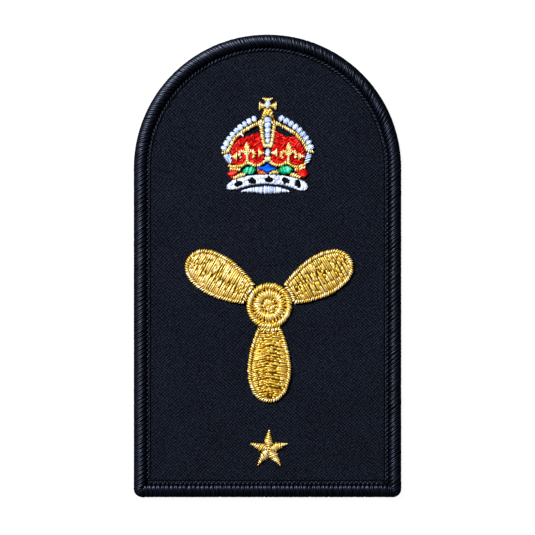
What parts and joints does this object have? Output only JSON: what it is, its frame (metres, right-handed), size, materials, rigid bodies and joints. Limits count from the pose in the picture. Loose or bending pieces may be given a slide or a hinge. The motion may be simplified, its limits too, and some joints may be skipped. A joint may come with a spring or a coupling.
{
  "type": "trade badge",
  "caption": "Arched navy cloth badge with an overlocked border, embroidered with a crown above a bladed propeller and a small star in gold and coloured thread.",
  "frame": {"origin": "middle of the box of the badge in X and Y, on the flat back of the cloth (Z = 0)", "axes": "X across the badge to the viewer's right, Y up the badge to its arched top, Z out of the embroidered face"},
  "size_m": [0.06, 0.1038, 0.0022],
  "materials": {
    "navy_cloth": "matt, close plain weave",
    "navy_thread": "soft sheen, twisted filament thread",
    "gold_thread": "bright metallic thread",
    "white_thread": "silky embroidery thread",
    "red_thread": "silky embroidery thread",
    "green_thread": "silky embroidery thread",
    "blue_thread": "silky embroidery thread",
    "coral_thread": "silky embroidery thread",
    "black_thread": "silky embroidery thread"
  },
  "bodies": {
    "root": {"ground_cloth": "navy_cloth", "edge_border": "navy_thread", "overlock_chain": "navy_thread", "blade_fill_left": "gold_thread", "blade_fill_right": "gold_thread", "blade_fill_lower": "gold_thread", "blade_rope_left": "gold_thread", "blade_rope_right": "gold_thread", "blade_rope_lower": "gold_thread", "hub_outer_ring": "gold_thread", "hub_inner_ring": "gold_thread", "hub_boss": "gold_thread", "star": "gold_thread", "cross_arm_top": "gold_thread", "cross_arm_left": "gold_thread", "cross_arm_right": "gold_thread", "cross_pearl": "white_thread", "orb": "gold_thread", "pearls_left": "white_thread", "pearls_right": "white_thread", "pearls_middle": "white_thread", "arch_left": "gold_thread", "arch_right": "gold_thread", "middle_arch_left": "gold_thread", "middle_arch_right": "gold_thread", "middle_knot": "gold_thread", "middle_low_pearl": "white_thread", "middle_foot": "gold_thread", "cap_left": "red_thread", "cap_right": "red_thread", "side_pearl_left": "white_thread", "side_pearl_right": "white_thread", "fleur_left": "gold_thread", "fleur_right": "gold_thread", "half_cross_far_left": "gold_thread", "half_cross_left": "gold_thread", "half_cross_right": "gold_thread", "half_cross_far_right": "gold_thread", "circlet_left": "gold_thread", "circlet_right": "gold_thread", "rim_left": "gold_thread", "rim_right": "gold_thread", "foot_rope_left": "gold_thread", "foot_rope_right": "gold_thread", "ruby_left": "red_thread", "emerald_left": "green_thread", "sapphire": "blue_thread", "emerald_right": "green_thread", "ruby_right": "red_thread", "coral_wedge": "coral_thread", "gold_wedge": "gold_thread", "ermine_band": "white_thread", "ermine_tails": "black_thread", "lining": "white_thread"}
  },
  "joints": []
}
